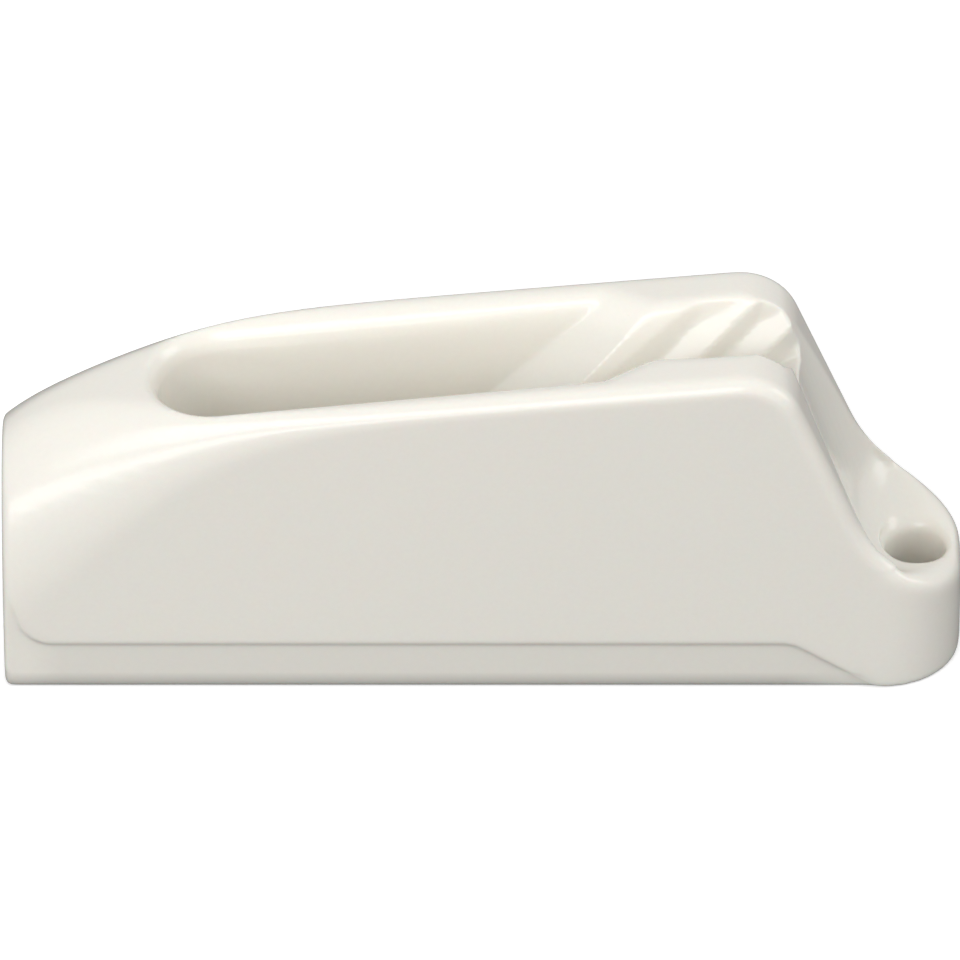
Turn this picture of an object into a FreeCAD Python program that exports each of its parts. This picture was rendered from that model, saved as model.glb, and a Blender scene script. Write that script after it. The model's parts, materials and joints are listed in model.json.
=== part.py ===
# Jam cleat for 3 to 6 mm line with a built-in fairlead, moulded in one piece.
#
# The line enters through the fairlead bore in the tail end, runs along an open
# slot and jams between ribs in a V groove near the nose. Two screws hold the
# cleat down: one through the slot floor, one through the nose.
#
# Frame: millimetres, +Z up from the base, +X from the tail to the nose, +Y across.
# The origin is at the centre of the base. Stations are measured from the tail end.

import FreeCAD, Part
import math
import os
from FreeCAD import Rotation, Vector

doc = FreeCAD.newDocument("JamCleat")

driving_sizes = [
    ("body_length", 82.0, "tail end to nose tip"),
    ("body_width", 17.0, "across the side walls"),
    ("crest_height", 32.6, "base to the highest point of the walls"),
    ("crest_pitch", 5.6, "degrees that the crest rises towards the nose"),
    ("crest_round", 5.3, "radius where the crest turns down the back slope"),
    ("edge_round", 1.4, "radius along the outer top edges"),
    ("tail_drop", 4.8, "how far the tail end falls below the crest line"),
    ("tail_drop_reach", 5.5, "length over which that fall dies away"),
    ("tail_round", 0.9, "radius around the flat tail end"),
    ("hood_height", 16.0, "height of the rounded hood over the tail end"),
    ("hood_flat", 0.2, "half width left flat on top of the hood at the tail end"),
    ("hood_reach", 15.4, "length over which the hood turns into a plain edge"),
    ("hood_end", 48.0, "station where the edge is plain"),
    ("slope_angle", 67.3, "degrees of the back slope from level"),
    ("slope_run", 15.7, "crest corner of the back slope, back from the nose tip"),
    ("nose_pitch", 26.0, "degrees that the nose top falls towards the tip"),
    ("nose_height", 9.1, "nose top at the tip"),
    ("nose_blend", 15.0, "radius from the back slope into the nose top"),
    ("nose_corner", 6.75, "radius of the nose in plan"),
    ("rim_width", 1.1, "side wall left standing beside the hollow"),
    ("hollow_depth", 2.3, "depth of the hollow in the middle"),
    ("hollow_angle", 72.5, "degrees of the hollow's bottom on the back slope"),
    ("hollow_blend", 3.6, "radius from that slope into the level seat"),
    ("seat_height", 9.4, "level seat of the nose screw above the base"),
    ("seat_chamfer", 0.5, "chamfer around the nose screw hole, at the seat"),
    ("skirt_height", 4.8, "height of the stepped-in band around the base"),
    ("skirt_step", 0.3, "how far the band is stepped in"),
    ("skirt_tail_width", 1.9, "width of the same band up the tail end"),
    ("skirt_tail_height", 12.0, "height at which the tail band runs out"),
    ("skirt_corner", 3.0, "radius where the band's upper edge turns"),
    ("skirt_bend_setback", 14.5, "where the upper edge turns down, back from the nose tip"),
    ("skirt_end_setback", 7.0, "where that edge meets the base, back from the nose tip"),
    ("slot_start", 13.2, "station of the slot's round end"),
    ("slot_end_half_width", 5.5, "half width of the slot at its round end, at the crest"),
    ("slot_half_width", 5.6, "half width of the slot before the jaws, at the crest"),
    ("slot_draft", 1.0, "degrees of draft on the slot walls"),
    ("end_lip_round", 2.5, "radius of the slot's lip around the round end"),
    ("wall_lip_round", 1.4, "radius of the lips at the ends of the slot walls"),
    ("jaw_lip_round", 0.9, "radius of the lips of the jaws"),
    ("floor_height", 7.0, "slot floor above the base"),
    ("fairlead_radius", 4.0, "radius of the bore for the line in the tail end"),
    ("fairlead_height", 13.0, "axis of that bore above the base"),
    ("fairlead_mouth", 1.2, "radius of the bore's rounded outer mouth"),
    ("jaw_half_width", 3.75, "half width between the ribs at the crest"),
    ("jaw_angle", 19.0, "degrees of each jaw face from upright"),
    ("jaw_exit_drop", 5.2, "groove bottom below the crest where it leaves the body"),
    ("jaw_rise", 24.0, "degrees that the groove bottom rises to that point"),
    ("ramp_run", 3.8, "length of the ramp from the slot wall to the jaw face"),
    ("ramp_lead", 2.8, "plain jaw face between the ramp and the first rib"),
    ("rib_count", 3, "grooves cut in each jaw"),
    ("rib_lead", 7.0, "first rib edge at the crest, back from the crest corner"),
    ("rib_pitch", 5.2, "rib spacing along the cleat"),
    ("rib_angle", 45.5, "degrees of the ribs from level"),
    ("first_rib_angle", 40.0, "degrees of the first edge, less steep than the ribs"),
    ("rib_depth", 1.0, "depth of the grooves between the ribs"),
    ("rib_flank", 0.45, "share of the pitch taken by the flank facing the nose"),
    ("rib_run_out", 0.2, "depth of those grooves where they meet the crest"),
    ("screw_hole_radius", 2.6, "clearance for 5 mm screws"),
    ("screw_spacing", 54.0, "between the two screw axes"),
    ("nose_hole_setback", 3.9, "nose screw axis, back from the nose tip"),
]

sheet = doc.addObject("Spreadsheet::Sheet", "Sizes")
for row, (alias, value, note) in enumerate(driving_sizes, start=1):
    sheet.set(f"A{row}", alias)
    sheet.set(f"B{row}", str(value))
    sheet.set(f"C{row}", note)
    sheet.setAlias(f"B{row}", alias)
doc.recompute()


def size(alias):
    return float(sheet.get(alias))


def slope(alias):
    """Rise over run of an angle that the sheet holds in degrees."""
    return math.tan(math.radians(size(alias)))


length = size("body_length")
half_width = size("body_width") / 2
beyond = 5.0  # how far cutting shapes reach past what they cut
sharp = 0.05  # half width left where two faces would meet in a knife edge
nearly = 0.01  # tolerance for picking edges


def place(station, across, height):
    """A point given by its station from the tail end."""
    return Vector(station - length / 2, across, height)


def prism(points, sweep):
    """A solid swept along a vector from a flat polygon."""
    return Part.Face(Part.makePolygon(points + points[:1])).extrude(sweep)


def rounded_chain(points, radii):
    """Edges of a chain of straight runs whose inner corners are rounded."""
    edges, start = [], points[0]
    for before, corner, after, radius in zip(points, points[1:], points[2:], radii):
        inward, outward = (before - corner).normalize(), (after - corner).normalize()
        half = inward.getAngle(outward) / 2
        first = corner + inward * (radius / math.tan(half))
        last = corner + outward * (radius / math.tan(half))
        centre = corner + (inward + outward).normalize() * (radius / math.sin(half))
        middle = centre + (corner - centre).normalize() * radius
        edges += [Part.makeLine(start, first), Part.Arc(first, middle, last).toShape()]
        start = last
    return edges + [Part.makeLine(start, points[-1])]


# Crest line, back slope and nose top in the side view

slope_station = length - size("slope_run")
crest_turn = math.radians(size("slope_angle") + size("crest_pitch"))
crest_corner_height = size("crest_height") + size("crest_round") * (
    math.tan(crest_turn / 2) * math.sin(math.radians(size("crest_pitch")))
    - 1
    + math.cos(math.radians(size("crest_pitch")))
)
# where the back slope's line meets the nose top's line
slope_base_height = crest_corner_height + slope_station * slope("slope_angle")
nose_base_height = size("nose_height") + length * slope("nose_pitch")
nose_foot_station = (slope_base_height - nose_base_height) / (slope("slope_angle") - slope("nose_pitch"))
nose_foot_height = size("nose_height") + (length - nose_foot_station) * slope("nose_pitch")


def crest(station):
    """Height of the straight crest line, before the tail falls away from it."""
    return crest_corner_height - (slope_station - station) * slope("crest_pitch")


def nose_half_profile():
    """Side view of the body from the end of the hood to the nose tip, as a face."""
    start = place(size("hood_end"), -half_width, crest(size("hood_end")))
    corner = place(slope_station, -half_width, crest_corner_height)
    foot = place(nose_foot_station, -half_width, nose_foot_height)
    tip = place(length, -half_width, size("nose_height"))
    base_tip, base_start = place(length, -half_width, -beyond), place(size("hood_end"), -half_width, -beyond)
    edges = rounded_chain([start, corner, foot, tip], [size("crest_round"), size("nose_blend")])
    edges += [Part.makeLine(tip, base_tip), Part.makeLine(base_tip, base_start), Part.makeLine(base_start, start)]
    return Part.Face(Part.Wire(edges))


def plan_prism():
    """Plan outline of the nose half, taller than the body and reaching below its base."""
    start, end = size("hood_end") - beyond, length
    corners = [
        place(start, -half_width, -beyond),
        place(end, -half_width, -beyond),
        place(end, half_width, -beyond),
        place(start, half_width, -beyond),
    ]
    edges = rounded_chain(corners, [size("nose_corner")] * 2) + [Part.makeLine(corners[-1], corners[0])]
    return Part.Face(Part.Wire(edges)).extrude(Vector(0, 0, size("crest_height") + 2 * beyond))


def nose_half():
    """The nose half of the body, with its outer top edges rounded."""
    block = nose_half_profile().extrude(Vector(0, 2 * half_width, 0)).common(plan_prism())
    hood_end, nose_tip = place(size("hood_end"), 0, 0).x, place(length, 0, 0).x
    rim = []
    for edge in block.Edges:
        middle = edge.valueAt((edge.FirstParameter + edge.LastParameter) / 2)
        upright = abs(edge.tangentAt(edge.FirstParameter).z) > 1 - nearly / 10
        crosses = abs(middle.y) < nearly and middle.x < nose_tip - nearly
        at_hood_end = abs(middle.x - hood_end) < nearly
        on_base = middle.z < nearly - beyond
        if not (upright or crosses or at_hood_end or on_base):
            rim.append(edge)
    return block.makeFillet(size("edge_round"), rim)


# The tail half: a rounded hood at the tail end that turns into plain edges

section_count = 8  # hood sections before the plain one
section_crowding = 1.15  # above 1, sections stand closer together at the tail
rise_fade, span_fade = 1.8, 2.35  # how suddenly the hood's height and width die away


def hood_section(station, span, rise, top):
    """Cross-section of the body: upright sides under elliptical corners."""
    flat, spring = half_width - span, top - rise
    corners = {}
    for side in (1, -1):
        centre = place(station, side * flat, spring)
        side_end, crown_end = centre + Vector(0, side * span, 0), centre + Vector(0, 0, rise)
        axes = (crown_end, side_end) if rise >= span else (side_end, crown_end)
        ellipse = Part.Ellipse(*axes, centre)
        first, last = sorted([ellipse.parameter(side_end), ellipse.parameter(crown_end)])
        if last - first > math.pi:
            first, last = last, first + 2 * math.pi
        corners[side] = Part.ArcOfEllipse(ellipse, first, last).toShape()
    left_foot, right_foot = place(station, -half_width, -beyond), place(station, half_width, -beyond)
    return Part.Wire(
        [
            Part.makeLine(left_foot, right_foot),
            Part.makeLine(right_foot, place(station, half_width, spring)),
            corners[1],
            Part.makeLine(place(station, flat, top), place(station, -flat, top)),
            corners[-1],
            Part.makeLine(place(station, -half_width, spring), left_foot),
        ]
    )


def tail_half():
    plain_span = size("edge_round")
    plain_rise = plain_span / math.cos(math.radians(size("crest_pitch")))
    sections = []
    for step in range(section_count):
        station = size("hood_end") * (step / section_count) ** section_crowding
        away = station / size("hood_reach")
        span = plain_span + (half_width - size("hood_flat") - plain_span) * math.exp(-(away**span_fade))
        rise = plain_rise + (size("hood_height") - plain_rise) * math.exp(-(away**rise_fade))
        top = crest(station) - size("tail_drop") * math.exp(-station / size("tail_drop_reach"))
        sections.append(hood_section(station, span, rise, top))
    sections.append(hood_section(size("hood_end"), plain_span, plain_rise, crest(size("hood_end"))))
    form = Part.makeLoft(sections, True, False)
    tail_x = place(0, 0, 0).x
    tail_edges = [
        edge
        for edge in form.Edges
        if all(abs(vertex.X - tail_x) < nearly for vertex in edge.Vertexes)
        and max(vertex.Z for vertex in edge.Vertexes) > nearly - beyond
    ]
    return form.makeFillet(size("tail_round"), tail_edges)


def hollow():
    """Cutting shape of the hollow down the back slope and over the seat of the nose screw."""
    steep, chord_height = math.radians(size("hollow_angle")), size("seat_height") + size("hollow_depth")
    foot_station = nose_foot_station + (nose_foot_height - chord_height) / slope("hollow_angle")
    foot = place(foot_station, 0, chord_height)
    up_slope, down_nose = Vector(-math.cos(steep), 0, math.sin(steep)), Vector(1, 0, 0)
    outward = Vector(math.sin(steep), 0, math.cos(steep))
    start = foot + up_slope * (size("hollow_blend") * math.tan(steep / 2))
    centre = start + outward * size("hollow_blend")
    across = Vector(0, half_width - size("rim_width"), 0)
    near, far, lift = start - across, start + across, outward * (0.95 * size("hollow_blend"))
    section = Part.Face(
        Part.Wire(
            [
                Part.Arc(near, start - outward * size("hollow_depth"), far).toShape(),
                Part.makeLine(far, far + lift),
                Part.makeLine(far + lift, near + lift),
                Part.makeLine(near + lift, near),
            ]
        )
    )
    slope_piece = section.extrude(up_slope * size("crest_height"))
    turn = size("hollow_angle")
    blend_piece = section.revolve(centre, Vector(0, -1, 0), turn)
    nose_face = section.copy()
    nose_face.rotate(centre, Vector(0, -1, 0), turn)
    nose_piece = nose_face.extrude(down_nose * (2 * size("nose_corner")))
    return slope_piece.fuse([blend_piece, nose_piece])


def outer_form():
    """Both halves, hollowed and cut off flat at the base."""
    above_base = Part.makeBox(
        length + 2 * beyond, 2 * (half_width + beyond), 2 * size("crest_height"), place(-beyond, -half_width - beyond, 0)
    )
    return nose_half().fuse(tail_half()).cut(hollow()).common(above_base)


def skirt():
    """The shallow band around the base and up the tail end, on both sides."""
    outside = half_width + beyond
    bend, end = length - size("skirt_bend_setback"), length - size("skirt_end_setback")
    points = [
        place(-beyond, -outside, size("skirt_tail_height")),
        place(0, -outside, size("skirt_tail_height")),
        place(size("skirt_tail_width"), -outside, size("skirt_height")),
        place(bend, -outside, size("skirt_height")),
        place(end, -outside, 0),
        place(end, -outside, -beyond),
        place(-beyond, -outside, -beyond),
    ]
    edges = rounded_chain(points[:5], [size("skirt_corner")] * 3)
    edges += [Part.makeLine(a, b) for a, b in zip(points[4:], points[5:] + points[:1])]
    near = Part.Face(Part.Wire(edges)).extrude(Vector(0, beyond + size("skirt_step"), 0))
    return near.fuse(near.mirror(Vector(0, 0, 0), Vector(0, 1, 0)))


# The open slot and the jaws. Their widths are given at the height of the crest.

jaw_bottom = size("crest_height") - size("jaw_half_width") / slope("jaw_angle")
rib_start = slope_station - size("rib_lead")


def jaw_half(height):
    return max(size("jaw_half_width") + (height - size("crest_height")) * slope("jaw_angle"), sharp)


round_centre = size("slot_start") + size("slot_end_half_width")


def wall_half(alias, height):
    return size(alias) + (height - size("crest_height")) * slope("slot_draft")


def ramp_end(height):
    return rib_start - size("ramp_lead") + (height - size("crest_height")) / slope("rib_angle")


def slot_section(height):
    """Outline of the slot at a height: a round end, two walls and the ramps to the ribs."""
    end_half, half = wall_half("slot_end_half_width", height), wall_half("slot_half_width", height)
    wall_end, jaw = ramp_end(height) - size("ramp_run"), jaw_half(height)
    corners = [
        place(round_centre, end_half, height),
        place(wall_end, half, height),
        place(ramp_end(height), jaw, height),
        place(ramp_end(height), -jaw, height),
        place(wall_end, -half, height),
        place(round_centre, -end_half, height),
    ]
    round_end = Part.Arc(corners[-1], place(round_centre - end_half, 0, height), corners[0]).toShape()
    return Part.Wire([Part.makeLine(a, b) for a, b in zip(corners, corners[1:])] + [round_end])


def slot():
    heights = (size("floor_height"), jaw_bottom, size("crest_height") + beyond)
    return Part.makeLoft([slot_section(height) for height in heights], True, True)


def lip_spread(alias, depth):
    """How far a rounded lip stands back from the wall, at a depth below the crest."""
    radius = size(alias)
    if depth >= radius:
        return -2 * nearly
    return radius - math.sqrt(radius**2 - (radius - max(depth, 0)) ** 2)


def lip_section(depth):
    """Outline of the slot and the jaws at a depth below the crest line, with their rounded lips."""
    stations = [round_centre]
    for run in (size("ramp_run"), 0):
        station = rib_start
        for _ in range(5):  # settles on the ramp's edge at this depth
            station = ramp_end(crest(station) - depth) - run - 2 * nearly
        stations.append(station)
    stations.append(slope_station + size("crest_round"))
    heights = [crest(station) - depth for station in stations]
    halves = [
        wall_half("slot_end_half_width", heights[0]) + lip_spread("end_lip_round", depth),
        wall_half("slot_half_width", heights[1]) + lip_spread("wall_lip_round", depth),
        jaw_half(heights[2]) + lip_spread("jaw_lip_round", depth),
        jaw_half(heights[3]) + lip_spread("jaw_lip_round", depth),
    ]
    far = [place(*corner) for corner in zip(stations, halves, heights)]
    near = [place(station, -half, height) for station, half, height in zip(stations, halves, heights)]
    corners, tail = far + near[::-1], round_centre - halves[0]
    round_end = Part.Arc(near[0], place(tail, 0, crest(tail) - depth), far[0]).toShape()
    return Part.Wire([Part.makeLine(a, b) for a, b in zip(corners, corners[1:])] + [round_end])


def lips():
    """Cutting shape that rounds the lips, in narrow facets."""
    deepest = size("end_lip_round")
    depths = [-beyond, 0] + [deepest * share for share in (0.05, 0.15, 0.32, 0.6, 1.0)]
    return Part.makeLoft([lip_section(depth) for depth in depths], True, True)


def rib_groove(index, side):
    """One groove between two ribs, running down the jaw towards the tail."""
    start, pitch = rib_start + index * size("rib_pitch"), size("rib_pitch")
    face, crest_height = size("jaw_half_width"), size("crest_height")
    valley, inside = face + size("rib_depth"), face - size("rib_depth") / 3
    outline = [
        place(start, side * face, crest_height),
        place(start + pitch * size("rib_flank"), side * valley, crest_height),
        place(start + pitch, side * face, crest_height),
        place(start + pitch, side * inside, crest_height),
        place(start, side * inside, crest_height),
    ]
    climb = Vector(1 / slope("rib_angle"), side * slope("jaw_angle"), 1)
    first_climb = Vector(1 / slope("first_rib_angle" if index == 0 else "rib_angle"), climb.y, 1)
    climbs = [first_climb, climb, climb, climb, first_climb]
    ends = []
    for rise in (beyond, jaw_bottom - crest_height):
        points = [point + direction * rise for point, direction in zip(outline, climbs)]
        ends.append(Part.makePolygon(points + points[:1]))
    groove = Part.makeLoft(ends, True, True)
    reach = face + size("rib_run_out")
    return groove.common(Part.makeBox(length, 2 * reach, crest_height + beyond, place(0, -reach, 0)))


def jaws():
    """The V groove between the ribs, with its rising bottom."""
    top = size("crest_height") + beyond
    ramp_foot = rib_start - size("ramp_lead") + (jaw_bottom - size("crest_height")) / slope("rib_angle")
    start = ramp_foot - size("ramp_run") / 2
    groove = prism(
        [
            place(start, -jaw_half(top), top),
            place(start, jaw_half(top), top),
            place(start, sharp, jaw_bottom),
            place(start, -sharp, jaw_bottom),
        ],
        Vector(length - start, 0, 0),
    )
    opening = groove.fuse([rib_groove(index, side) for index in range(int(size("rib_count"))) for side in (1, -1)])
    exit_station = slope_station + size("jaw_exit_drop") / slope("slope_angle")
    exit_height = size("crest_height") - size("jaw_exit_drop")
    tail_height = exit_height - exit_station * slope("jaw_rise")
    nose_height = exit_height + (length - exit_station) * slope("jaw_rise")
    below = prism(
        [
            place(0, -half_width, tail_height),
            place(length, -half_width, nose_height),
            place(length, -half_width, tail_height - beyond),
            place(0, -half_width, tail_height - beyond),
        ],
        Vector(0, 2 * half_width, 0),
    )
    return opening.cut(below)


def feature(label, shape):
    """A shape that no primitive gives, as an object of the document."""
    made = doc.addObject("Part::Feature", label)
    made.Label = label
    made.Shape = shape
    made.Placement = FreeCAD.Placement()
    return made


def primitive(kind, label, bindings, turned=False):
    """A primitive whose sizes follow the sheet; turned ones lie along +X."""
    made = doc.addObject(kind, label)
    made.Label = label
    if turned:
        made.Placement = FreeCAD.Placement(Vector(), Rotation(Vector(0, 1, 0), 90))
    for name, expression in bindings.items():
        made.setExpression(name, expression)
    return made


def screw_hole(label, setback):
    return primitive(
        "Part::Cylinder",
        label,
        {
            "Radius": "Sizes.screw_hole_radius",
            "Height": "Sizes.crest_height",
            "Placement.Base.x": f"Sizes.body_length / 2 - {setback}",
            "Placement.Base.z": "-Sizes.screw_hole_radius",
        },
    )


fairlead_bore = primitive(
    "Part::Cylinder",
    "fairlead_bore",
    {
        "Radius": "Sizes.fairlead_radius",
        "Height": "Sizes.slot_start + Sizes.slot_end_half_width + Sizes.fairlead_mouth",
        "Placement.Base.x": "-Sizes.body_length / 2 - Sizes.fairlead_mouth",
        "Placement.Base.z": "Sizes.fairlead_height",
    },
    turned=True,
)
mouth_disc = primitive(
    "Part::Cylinder",
    "mouth_disc",
    {
        "Radius": "Sizes.fairlead_radius + Sizes.fairlead_mouth",
        "Height": "Sizes.fairlead_mouth",
        "Placement.Base.x": "-Sizes.body_length / 2",
        "Placement.Base.z": "Sizes.fairlead_height",
    },
    turned=True,
)
mouth_bead = primitive(
    "Part::Torus",
    "mouth_bead",
    {
        "Radius1": "Sizes.fairlead_radius + Sizes.fairlead_mouth",
        "Radius2": "Sizes.fairlead_mouth",
        "Placement.Base.x": "-Sizes.body_length / 2 + Sizes.fairlead_mouth",
        "Placement.Base.z": "Sizes.fairlead_height",
    },
    turned=True,
)
fairlead_mouth = doc.addObject("Part::Cut", "fairlead_mouth")
fairlead_mouth.Base, fairlead_mouth.Tool = mouth_disc, mouth_bead

seat_chamfer = primitive(
    "Part::Cone",
    "seat_chamfer",
    {
        "Radius1": "Sizes.screw_hole_radius",
        "Radius2": "Sizes.screw_hole_radius + 2 * Sizes.seat_chamfer",
        "Height": "2 * Sizes.seat_chamfer",
        "Placement.Base.x": "Sizes.body_length / 2 - Sizes.nose_hole_setback",
        "Placement.Base.z": "Sizes.seat_height - Sizes.seat_chamfer",
    },
)

cutters = doc.addObject("Part::MultiFuse", "cutters")
cutters.Shapes = [
    feature("skirt", skirt()),
    feature("jaws", jaws()),
    fairlead_bore,
    fairlead_mouth,
    screw_hole("nose_screw_hole", "Sizes.nose_hole_setback"),
    screw_hole("floor_screw_hole", "Sizes.nose_hole_setback - Sizes.screw_spacing"),
    seat_chamfer,
]
cleat_body = doc.addObject("Part::Cut", "cleat_body")
cleat_body.Label = "cleat_body"
slotted_form = outer_form().cut(slot()).cut(lips())
cleat_body.Base, cleat_body.Tool = feature("slotted_form", slotted_form), cutters
cleat_body.Placement = FreeCAD.Placement()
doc.recompute()

failed = [item.Label for item in doc.Objects if "Invalid" in item.State or "Error" in item.State]
for item in doc.Objects:
    if hasattr(item, "Shape"):
        print(item.Label, item.Shape.isValid(), len(item.Shape.Solids), round(item.Shape.Volume, 1))
        if item.Shape.isNull() or not item.Shape.isValid():
            failed.append(item.Label)
if failed or len(cleat_body.Shape.Solids) != 1:
    raise RuntimeError(f"not built: {failed}")

os.makedirs("parts", exist_ok=True)
cleat_body.Shape.exportStep(f"parts/{cleat_body.Label}.step")
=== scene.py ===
import json
import math

import bpy
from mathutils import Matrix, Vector

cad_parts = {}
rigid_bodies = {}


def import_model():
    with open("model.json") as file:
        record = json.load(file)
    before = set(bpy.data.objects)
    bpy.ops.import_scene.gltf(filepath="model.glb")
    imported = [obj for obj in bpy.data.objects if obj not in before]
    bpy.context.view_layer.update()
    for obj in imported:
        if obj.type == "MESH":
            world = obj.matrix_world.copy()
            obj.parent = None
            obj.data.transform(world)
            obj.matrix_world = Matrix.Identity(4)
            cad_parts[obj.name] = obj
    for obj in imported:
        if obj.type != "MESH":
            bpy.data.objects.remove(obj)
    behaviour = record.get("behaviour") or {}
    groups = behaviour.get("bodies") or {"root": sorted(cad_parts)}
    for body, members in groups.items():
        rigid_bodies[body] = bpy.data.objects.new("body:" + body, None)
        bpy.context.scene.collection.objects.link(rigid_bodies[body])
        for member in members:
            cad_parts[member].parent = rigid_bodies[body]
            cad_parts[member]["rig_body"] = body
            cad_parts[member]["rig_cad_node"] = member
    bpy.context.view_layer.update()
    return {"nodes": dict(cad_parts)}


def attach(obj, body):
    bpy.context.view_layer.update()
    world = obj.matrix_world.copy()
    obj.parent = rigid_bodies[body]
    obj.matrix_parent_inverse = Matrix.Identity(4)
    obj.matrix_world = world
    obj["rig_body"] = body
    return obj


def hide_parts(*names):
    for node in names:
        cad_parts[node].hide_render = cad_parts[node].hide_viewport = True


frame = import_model()
mm = 0.001

print("stage: frame loaded")


# node graphs as plain expressions

class Sock:
    def __init__(self, tree, socket):
        self.tree = tree
        self.socket = socket

    def feed(self, target):
        self.tree.links.new(self.socket, target)

    def math(self, operation, *values):
        node = self.tree.nodes.new("ShaderNodeMath")
        node.operation = operation
        for target, value in zip(node.inputs, values):
            fill(target, value)
        return Sock(self.tree, node.outputs[0])

    def __add__(self, other):
        return self.math("ADD", self, other)

    def __radd__(self, other):
        return self.math("ADD", other, self)

    def __sub__(self, other):
        return self.math("SUBTRACT", self, other)

    def __rsub__(self, other):
        return self.math("SUBTRACT", other, self)

    def __mul__(self, other):
        return self.math("MULTIPLY", self, other)

    def __rmul__(self, other):
        return self.math("MULTIPLY", other, self)

    def __truediv__(self, other):
        return self.math("DIVIDE", self, other)

    def __rtruediv__(self, other):
        return self.math("DIVIDE", other, self)

    def root(self):
        return self.math("SQRT", self)

    def clamped(self, low=0.0, high=1.0):
        raised = self.math("MAXIMUM", self, low)
        return raised.math("MINIMUM", raised, high)


def fill(target, value):
    if isinstance(value, Sock):
        value.feed(target)
    else:
        target.default_value = value


class Shader:
    # the owner is a material or a world
    def __init__(self, owner):
        owner.use_nodes = True
        self.tree = owner.node_tree
        self.tree.nodes.clear()

    # settings come first, then the values or links of the sockets
    def add(self, kind, settings=None, output=0, **sockets):
        node = self.tree.nodes.new(kind)
        for key, value in (settings or {}).items():
            if key == "stops":
                for element, (place, colour) in zip(node.color_ramp.elements, value):
                    element.position = place
                    element.color = colour
            else:
                setattr(node, key, value)
        for key, value in sockets.items():
            fill(node.inputs[key.replace("_", " ")], value)
        return Sock(self.tree, node.outputs[output]) if node.outputs else None


# the moulded body

moulding = {
    "weld": 0.002 * mm,
    "voxel": 0.2 * mm,  # mesh size that the edges are softened at
    "factor": 0.5,
    "softening": 4,  # passes over every edge
    "footSoftening": 40,  # more passes where the sides meet the base
    "footTop": 1.6 * mm,
    "noseSoftening": 40,  # and round the seat of the nose screw
    "noseStart": 31.0 * mm,
    "noseLevels": (5.8 * mm, 12.5 * mm),
    "lipSoftening": 12,  # and along the lips of the slot and the jaws
    "lipDepth": 2.4 * mm,  # below the crest
    "kept": 0.34,  # share of the faces that stays
}

# the crest is a straight line from the hood to the back slope
crest = {
    "height": 30.49 * mm,
    "rise": 0.0981,
    "start": -33 * mm,
    "end": 23 * mm,
    "inside": 7.6 * mm,
}


def only(piece):
    bpy.ops.object.select_all(action="DESELECT")
    piece.select_set(True)
    bpy.context.view_layer.objects.active = piece


def applied(piece, kind, name, **settings):
    only(piece)
    modifier = piece.modifiers.new(name, kind)
    for key, value in settings.items():
        setattr(modifier, key, value)
    bpy.ops.object.modifier_apply(modifier=name)


def softened(piece, name, chosen, passes):
    group = piece.vertex_groups.new(name=name)
    group.add([v.index for v in piece.data.vertices if chosen(v.co)], 1.0, "REPLACE")
    applied(piece, "SMOOTH", name, factor=moulding["factor"], iterations=passes, vertex_group=name)


def onFoot(point):
    return point.z < moulding["footTop"]


def onSeat(point):
    low, high = moulding["noseLevels"]
    return point.x > moulding["noseStart"] and low < point.z < high


def onLip(point):
    if not crest["start"] < point.x < crest["end"] or abs(point.y) > crest["inside"]:
        return False
    return point.z > crest["height"] + crest["rise"] * point.x - moulding["lipDepth"]


def bodyCopy():
    node = frame["nodes"]["cleat_body"]
    piece = node.copy()
    piece.data = node.data.copy()
    piece.name = "moulded_body"
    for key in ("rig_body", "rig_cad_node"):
        del piece[key]
    piece.parent = None
    bpy.context.scene.collection.objects.link(piece)
    only(piece)
    bpy.ops.object.mode_set(mode="EDIT")
    bpy.ops.mesh.select_all(action="SELECT")
    bpy.ops.mesh.remove_doubles(threshold=moulding["weld"])
    bpy.ops.object.mode_set(mode="OBJECT")
    return piece


def mouldedBody():
    piece = bodyCopy()
    applied(piece, "REMESH", "fineSkin", mode="VOXEL", voxel_size=moulding["voxel"], adaptivity=0)
    applied(piece, "SMOOTH", "softEdges", factor=moulding["factor"], iterations=moulding["softening"])
    softened(piece, "softFoot", onFoot, moulding["footSoftening"])
    softened(piece, "softSeat", onSeat, moulding["noseSoftening"])
    softened(piece, "softLips", onLip, moulding["lipSoftening"])
    applied(piece, "DECIMATE", "fewerFaces", ratio=moulding["kept"], use_collapse_triangulate=True)
    bpy.ops.object.shade_smooth()
    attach(piece, "root")
    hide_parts("cleat_body")
    print("stage: moulded body,", len(piece.data.polygons), "faces")
    return piece


# warm white nylon, glossy from the mould

nylon = {
    "darker": (0.88, 0.855, 0.785, 1),
    "lighter": (0.91, 0.885, 0.815, 1),
    "grainScale": 2500.0,
    "grainDetail": 2.0,
    "bump": 0.02,
    "bumpDistance": 0.0002,
    "roughness": 0.2,
    "ior": 1.53,
    "milkiness": 0.15,
    "milkDepth": 0.002,
}

# painted shade: the foot band is painted a shade darker, and painted darker again where it turns in to
# the deck as a contact shadow
footBandPaintedShade = {
    "height": 4.65 * mm,
    "end": 34 * mm,  # where the band runs out at the nose
    "slope": 0.64,  # of its upper edge near that end
    "edge": 0.06 * mm,
    # painted shade: the band's colour is multiplied by this
    "tone": 0.92,
    "tailTurn": -36.1 * mm,  # the band turns up and fades at the tail, round this corner
    "tailCorner": 3.0 * mm,
    # painted contact shadow: the colour darkens towards the base, down to shadeTone
    "shadeHeight": 1.6 * mm,
    "shadeTone": 0.55,
    "shadeEnd": 26.0 * mm,  # where the shade starts to fade at the nose
    "shadeFade": 6.0 * mm,
}


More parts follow.
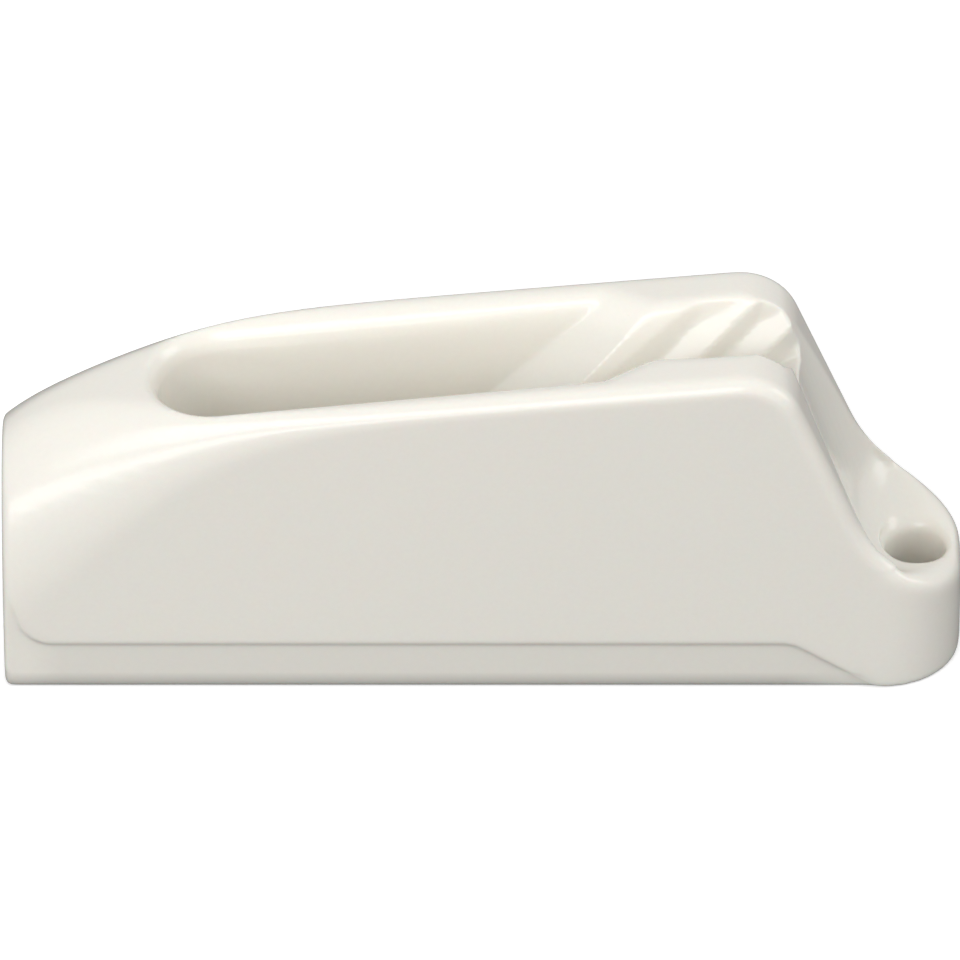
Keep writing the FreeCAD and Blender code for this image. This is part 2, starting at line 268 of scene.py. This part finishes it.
def paintedBandShade(along, height):
    top = ((footBandPaintedShade["end"] - along) * footBandPaintedShade["slope"]).clamped(0.0, footBandPaintedShade["height"])
    turn = ((footBandPaintedShade["tailTurn"] - along) / footBandPaintedShade["tailCorner"]).clamped()
    corner = 1.0 - (1.0 - turn * turn).root()
    top = top + corner * footBandPaintedShade["tailCorner"]
    inBand = ((top - height) / footBandPaintedShade["edge"]).clamped()
    # painted shade over the band, fading out at the tail
    band = 1.0 - inBand * (1.0 - turn) * (1 - footBandPaintedShade["tone"])
    # painted contact shadow near the base, fading out towards the nose
    low = ((footBandPaintedShade["shadeHeight"] - height) / footBandPaintedShade["shadeHeight"]).clamped()
    beforeNose = 1.0 - ((along - footBandPaintedShade["shadeEnd"]) / footBandPaintedShade["shadeFade"]).clamped()
    return band * (1.0 - low * beforeNose * (1 - footBandPaintedShade["shadeTone"]))


def nylonMaterial():
    material = bpy.data.materials.new("warmWhiteNylon")
    shader = Shader(material)
    spot = shader.add("ShaderNodeTexCoord", output="Object")
    along = shader.add("ShaderNodeSeparateXYZ", output="X", Vector=spot)
    height = shader.add("ShaderNodeSeparateXYZ", output="Z", Vector=spot)
    grain = shader.add(
        "ShaderNodeTexNoise",
        Vector=spot,
        Scale=nylon["grainScale"],
        Detail=nylon["grainDetail"],
    )
    tone = shader.add(
        "ShaderNodeValToRGB",
        {"stops": [(0.0, nylon["darker"]), (1.0, nylon["lighter"])]},
        Fac=grain,
    )
    surface = shader.add(
        "ShaderNodeBsdfPrincipled",
        Base_Color=shader.add(
            "ShaderNodeVectorMath",
            {"operation": "SCALE"},
            Vector=tone,
            # the base colour carries the painted shade of the foot band and the painted contact shadow
            # along the base
            Scale=paintedBandShade(along, height),
        ),
        Roughness=nylon["roughness"],
        Normal=shader.add(
            "ShaderNodeBump",
            Strength=nylon["bump"],
            Distance=nylon["bumpDistance"],
            Height=grain,
        ),
        IOR=nylon["ior"],
        Subsurface_Weight=nylon["milkiness"],
        Subsurface_Scale=nylon["milkDepth"],
    )
    shader.add("ShaderNodeOutputMaterial", Surface=surface)
    return material


# studio

white = (1, 1, 1, 1)

studio = {
    "floorSize": 3.0,
    "floorTone": (0.92, 0.92, 0.92, 1),
    "floorGlow": 0.35,  # light that comes through the table from below
    "cardTone": (0.12, 0.12, 0.12, 1),  # what the cleat sees below it
    "cardDrop": 0.05 * mm,
    "horizon": 0.62,
    "zenith": 0.66,
    "lightDistance": 0.8,
    "lightAim": (0, 0, 15 * mm),
}

# elevation and turn to the left of the camera in degrees, seen from the cleat
softboxes = {
    "keyLight": {"rise": 34, "turn": 25, "size": (0.7, 0.34), "power": 2.5},
    "lowStrip": {"rise": 10, "turn": 28, "size": (0.7, 0.11), "power": 1.15},
    "sideFill": {"rise": 28, "turn": -82, "size": (0.4, 0.4), "power": 1.2},
}


def paint(piece, material):
    piece.data.materials.clear()
    piece.data.materials.append(material)


def stageMaterial(name, tone, glow):
    material = bpy.data.materials.new(name)
    shader = Shader(material)
    surface = shader.add(
        "ShaderNodeBsdfPrincipled",
        Base_Color=tone,
        Roughness=1.0,
        Specular_IOR_Level=0.0,
        Emission_Color=white,
        Emission_Strength=glow,
    )
    shader.add("ShaderNodeOutputMaterial", Surface=surface)
    return material


def skyWorld():
    world = bpy.data.worlds.new("softStudio")
    bpy.context.scene.world = world
    shader = Shader(world)
    direction = shader.add("ShaderNodeTexCoord", output="Generated")
    strength = shader.add(
        "ShaderNodeMapRange",
        Value=shader.add("ShaderNodeSeparateXYZ", output="Z", Vector=direction),
        To_Min=studio["horizon"],
        To_Max=studio["zenith"],
    )
    sky = shader.add("ShaderNodeBackground", Color=white, Strength=strength)
    shader.add("ShaderNodeOutputWorld", Surface=sky)


def areaLight(name, box):
    data = bpy.data.lights.new(name, "AREA")
    data.shape = "RECTANGLE"
    data.size, data.size_y = box["size"]
    data.energy = box["power"]
    light = bpy.data.objects.new(name, data)
    rise = math.radians(box["rise"])
    turn = math.radians(box["turn"])
    level = math.cos(rise)
    towards = Vector((-level * math.sin(turn), -level * math.cos(turn), math.sin(rise)))
    light.location = towards * studio["lightDistance"]
    view = Vector(studio["lightAim"]) - light.location
    light.rotation_euler = view.to_track_quat("-Z", "Y").to_euler()
    bpy.context.scene.collection.objects.link(light)


def stagePlane(name, height, material):
    bpy.ops.object.select_all(action="DESELECT")
    bpy.ops.mesh.primitive_plane_add(size=studio["floorSize"], location=(0, 0, height))
    plane = bpy.context.object
    plane.name = name
    paint(plane, material)
    return plane


def studioSetup():
    # the camera sees the white floor, and the cleat is lit from below by the grey card under it
    floor = stagePlane("floor", 0, stageMaterial("paleFloor", studio["floorTone"], studio["floorGlow"]))
    floor.visible_diffuse = False
    floor.visible_glossy = False
    floor.visible_shadow = False
    card = stagePlane("underCard", -studio["cardDrop"], stageMaterial("greyCard", studio["cardTone"], 0))
    card.visible_camera = False
    skyWorld()
    for name, box in softboxes.items():
        areaLight(name, box)
    bpy.context.scene.view_settings.view_transform = "Standard"
    print("stage: studio ready")


# camera at the photograph's angle

lens = {
    "elevation": 37.3,
    "distance": 1.2,
    "aim": (-0.25 * mm, 0.0, 16.05 * mm),
    "frameWidth": 82.1 * mm,  # width of the view at the aim point
    "sensor": 36,
}


def cameraSetup():
    data = bpy.data.cameras.new("camera")
    camera = bpy.data.objects.new("camera", data)
    bpy.context.scene.collection.objects.link(camera)
    data.sensor_width = lens["sensor"]
    data.lens = lens["sensor"] * lens["distance"] / lens["frameWidth"]
    tilt = math.radians(lens["elevation"])
    back = Vector((0, -math.cos(tilt), math.sin(tilt)))
    camera.location = Vector(lens["aim"]) + back * lens["distance"]
    camera.rotation_euler = (-back).to_track_quat("-Z", "Y").to_euler()
    bpy.context.scene.camera = camera


cameraSetup()
body = mouldedBody()
paint(body, nylonMaterial())
print("stage: nylon on the body")
studioSetup()
